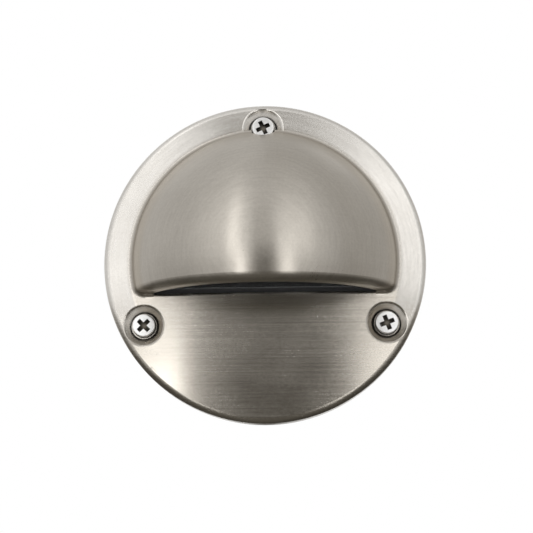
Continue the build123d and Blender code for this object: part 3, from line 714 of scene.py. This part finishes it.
LAMP_DISTANCE = 300.0
SOFTBOXES = {
    "softbox_left": ((-160.0, -106.0, -20.0, 330.0), 0.85),
    "softbox_left_low": ((-116.0, -74.0, -120.0, -10.0), 2.4),
    "softbox_right": ((90.0, 240.0, 10.0, 220.0), 0.42),
    "softbox_right_low": ((70.0, 126.0, -120.0, -26.0), 2.4),
    "softbox_right_edge": ((58.0, 74.0, 40.0, 112.0), 1.7),
    "softbox_middle": ((-24.0, 30.0, 70.0, 122.0), 0.6),
}
FLAG_EDGES = (-50.0, 40.0, 124.0, 205.0)
FLAG_CARD = dict(
    shades=((0.30, 0.285, 0.265), (0.36, 0.345, 0.32)), scale=even(300), gloss=(0.85, 0.95),
    depth=0.02 * MM)


def softbox(name, edges, radiance):
    """A soft rectangular lamp in front of the object."""
    left, right, low, high = edges
    data = bpy.data.lights.new(name, "AREA")
    data.shape = "RECTANGLE"
    data.size, data.size_y = (right - left) * MM, (high - low) * MM
    data.energy = radiance * pi * data.size * data.size_y
    lamp = bpy.data.objects.new(name, data)
    scene.collection.objects.link(lamp)
    place = Vector(((left + right) / 2, -LAMP_DISTANCE, (low + high) / 2)) * MM
    aim(lamp, place, Vector((0, -1, 0)))


def make_flag():
    """A grey card over the camera, seen only in the metal."""
    left, right, low, high = FLAG_EDGES
    outline = ((left, low), (left, high), (right, high), (right, low))
    corners = [Vector((x, -LAMP_DISTANCE, z)) * MM for x, z in outline]
    flag = mesh_piece("flag", corners, [(0, 1, 2, 3)])
    flag.data.materials.append(surface("flag_card", **FLAG_CARD))
    flag.visible_camera = flag.visible_diffuse = flag.visible_transmission = flag.visible_shadow = False


FLOOR_HEIGHT = -250.0 * MM
FLOOR_HALF = 450.0 * MM
FLOOR_FADE = 0.5
FLOOR_SHADE = (0.82, 0.82, 0.82)
FLOOR_ROUGHNESS = 0.9


def make_floor():
    """A pale floor under the object, which fades into white and can't be seen from below."""
    half = FLOOR_HALF
    corners = [(-half, -half, FLOOR_HEIGHT), (half, -half, FLOOR_HEIGHT),
               (half, half, FLOOR_HEIGHT), (-half, half, FLOOR_HEIGHT)]
    floor = mesh_piece("floor", corners, [(0, 1, 2, 3)])
    material, tree, shader = blank("floor_paper")
    shader.inputs["Base Color"].default_value = colour(FLOOR_SHADE)
    shader.inputs["Roughness"].default_value = FLOOR_ROUGHNESS
    x, y, _ = split(tree, own_place(tree))
    far = calc(tree, "SQRT", calc(tree, "ADD", calc(tree, "MULTIPLY", x, x), calc(tree, "MULTIPLY", y, y)))
    edge = calc(tree, "MULTIPLY", ramp(tree, far, FLOOR_FADE * half, half),
                add(tree, "ShaderNodeLightPath").outputs["Is Camera Ray"])
    white = add(tree, "ShaderNodeEmission", {"Color": colour(WHITE), "Strength": 1.0})
    blend = add(tree, "ShaderNodeMixShader", {0: edge, 1: shader.outputs[0], 2: white.outputs[0]})
    under = add(tree, "ShaderNodeNewGeometry").outputs["Backfacing"]
    clear = add(tree, "ShaderNodeBsdfTransparent")
    one_sided = add(tree, "ShaderNodeMixShader", {0: under, 1: blend.outputs[0], 2: clear.outputs[0]})
    tree.links.new(one_sided.outputs[0], tree.nodes["Material Output"].inputs["Surface"])
    floor.data.materials.append(material)
    floor.visible_glossy = False


make_camera()
finishes = make_materials()
dress_nodes(finishes)
for place in ("top", "left", "right"):
    make_screw(place, finishes["screw_steel"], finishes["screw_recess"])
make_filament(finishes["lamp_wire"])
make_world()
make_floor()
make_flag()
for name, (edges, radiance) in SOFTBOXES.items():
    softbox(name, edges, radiance)
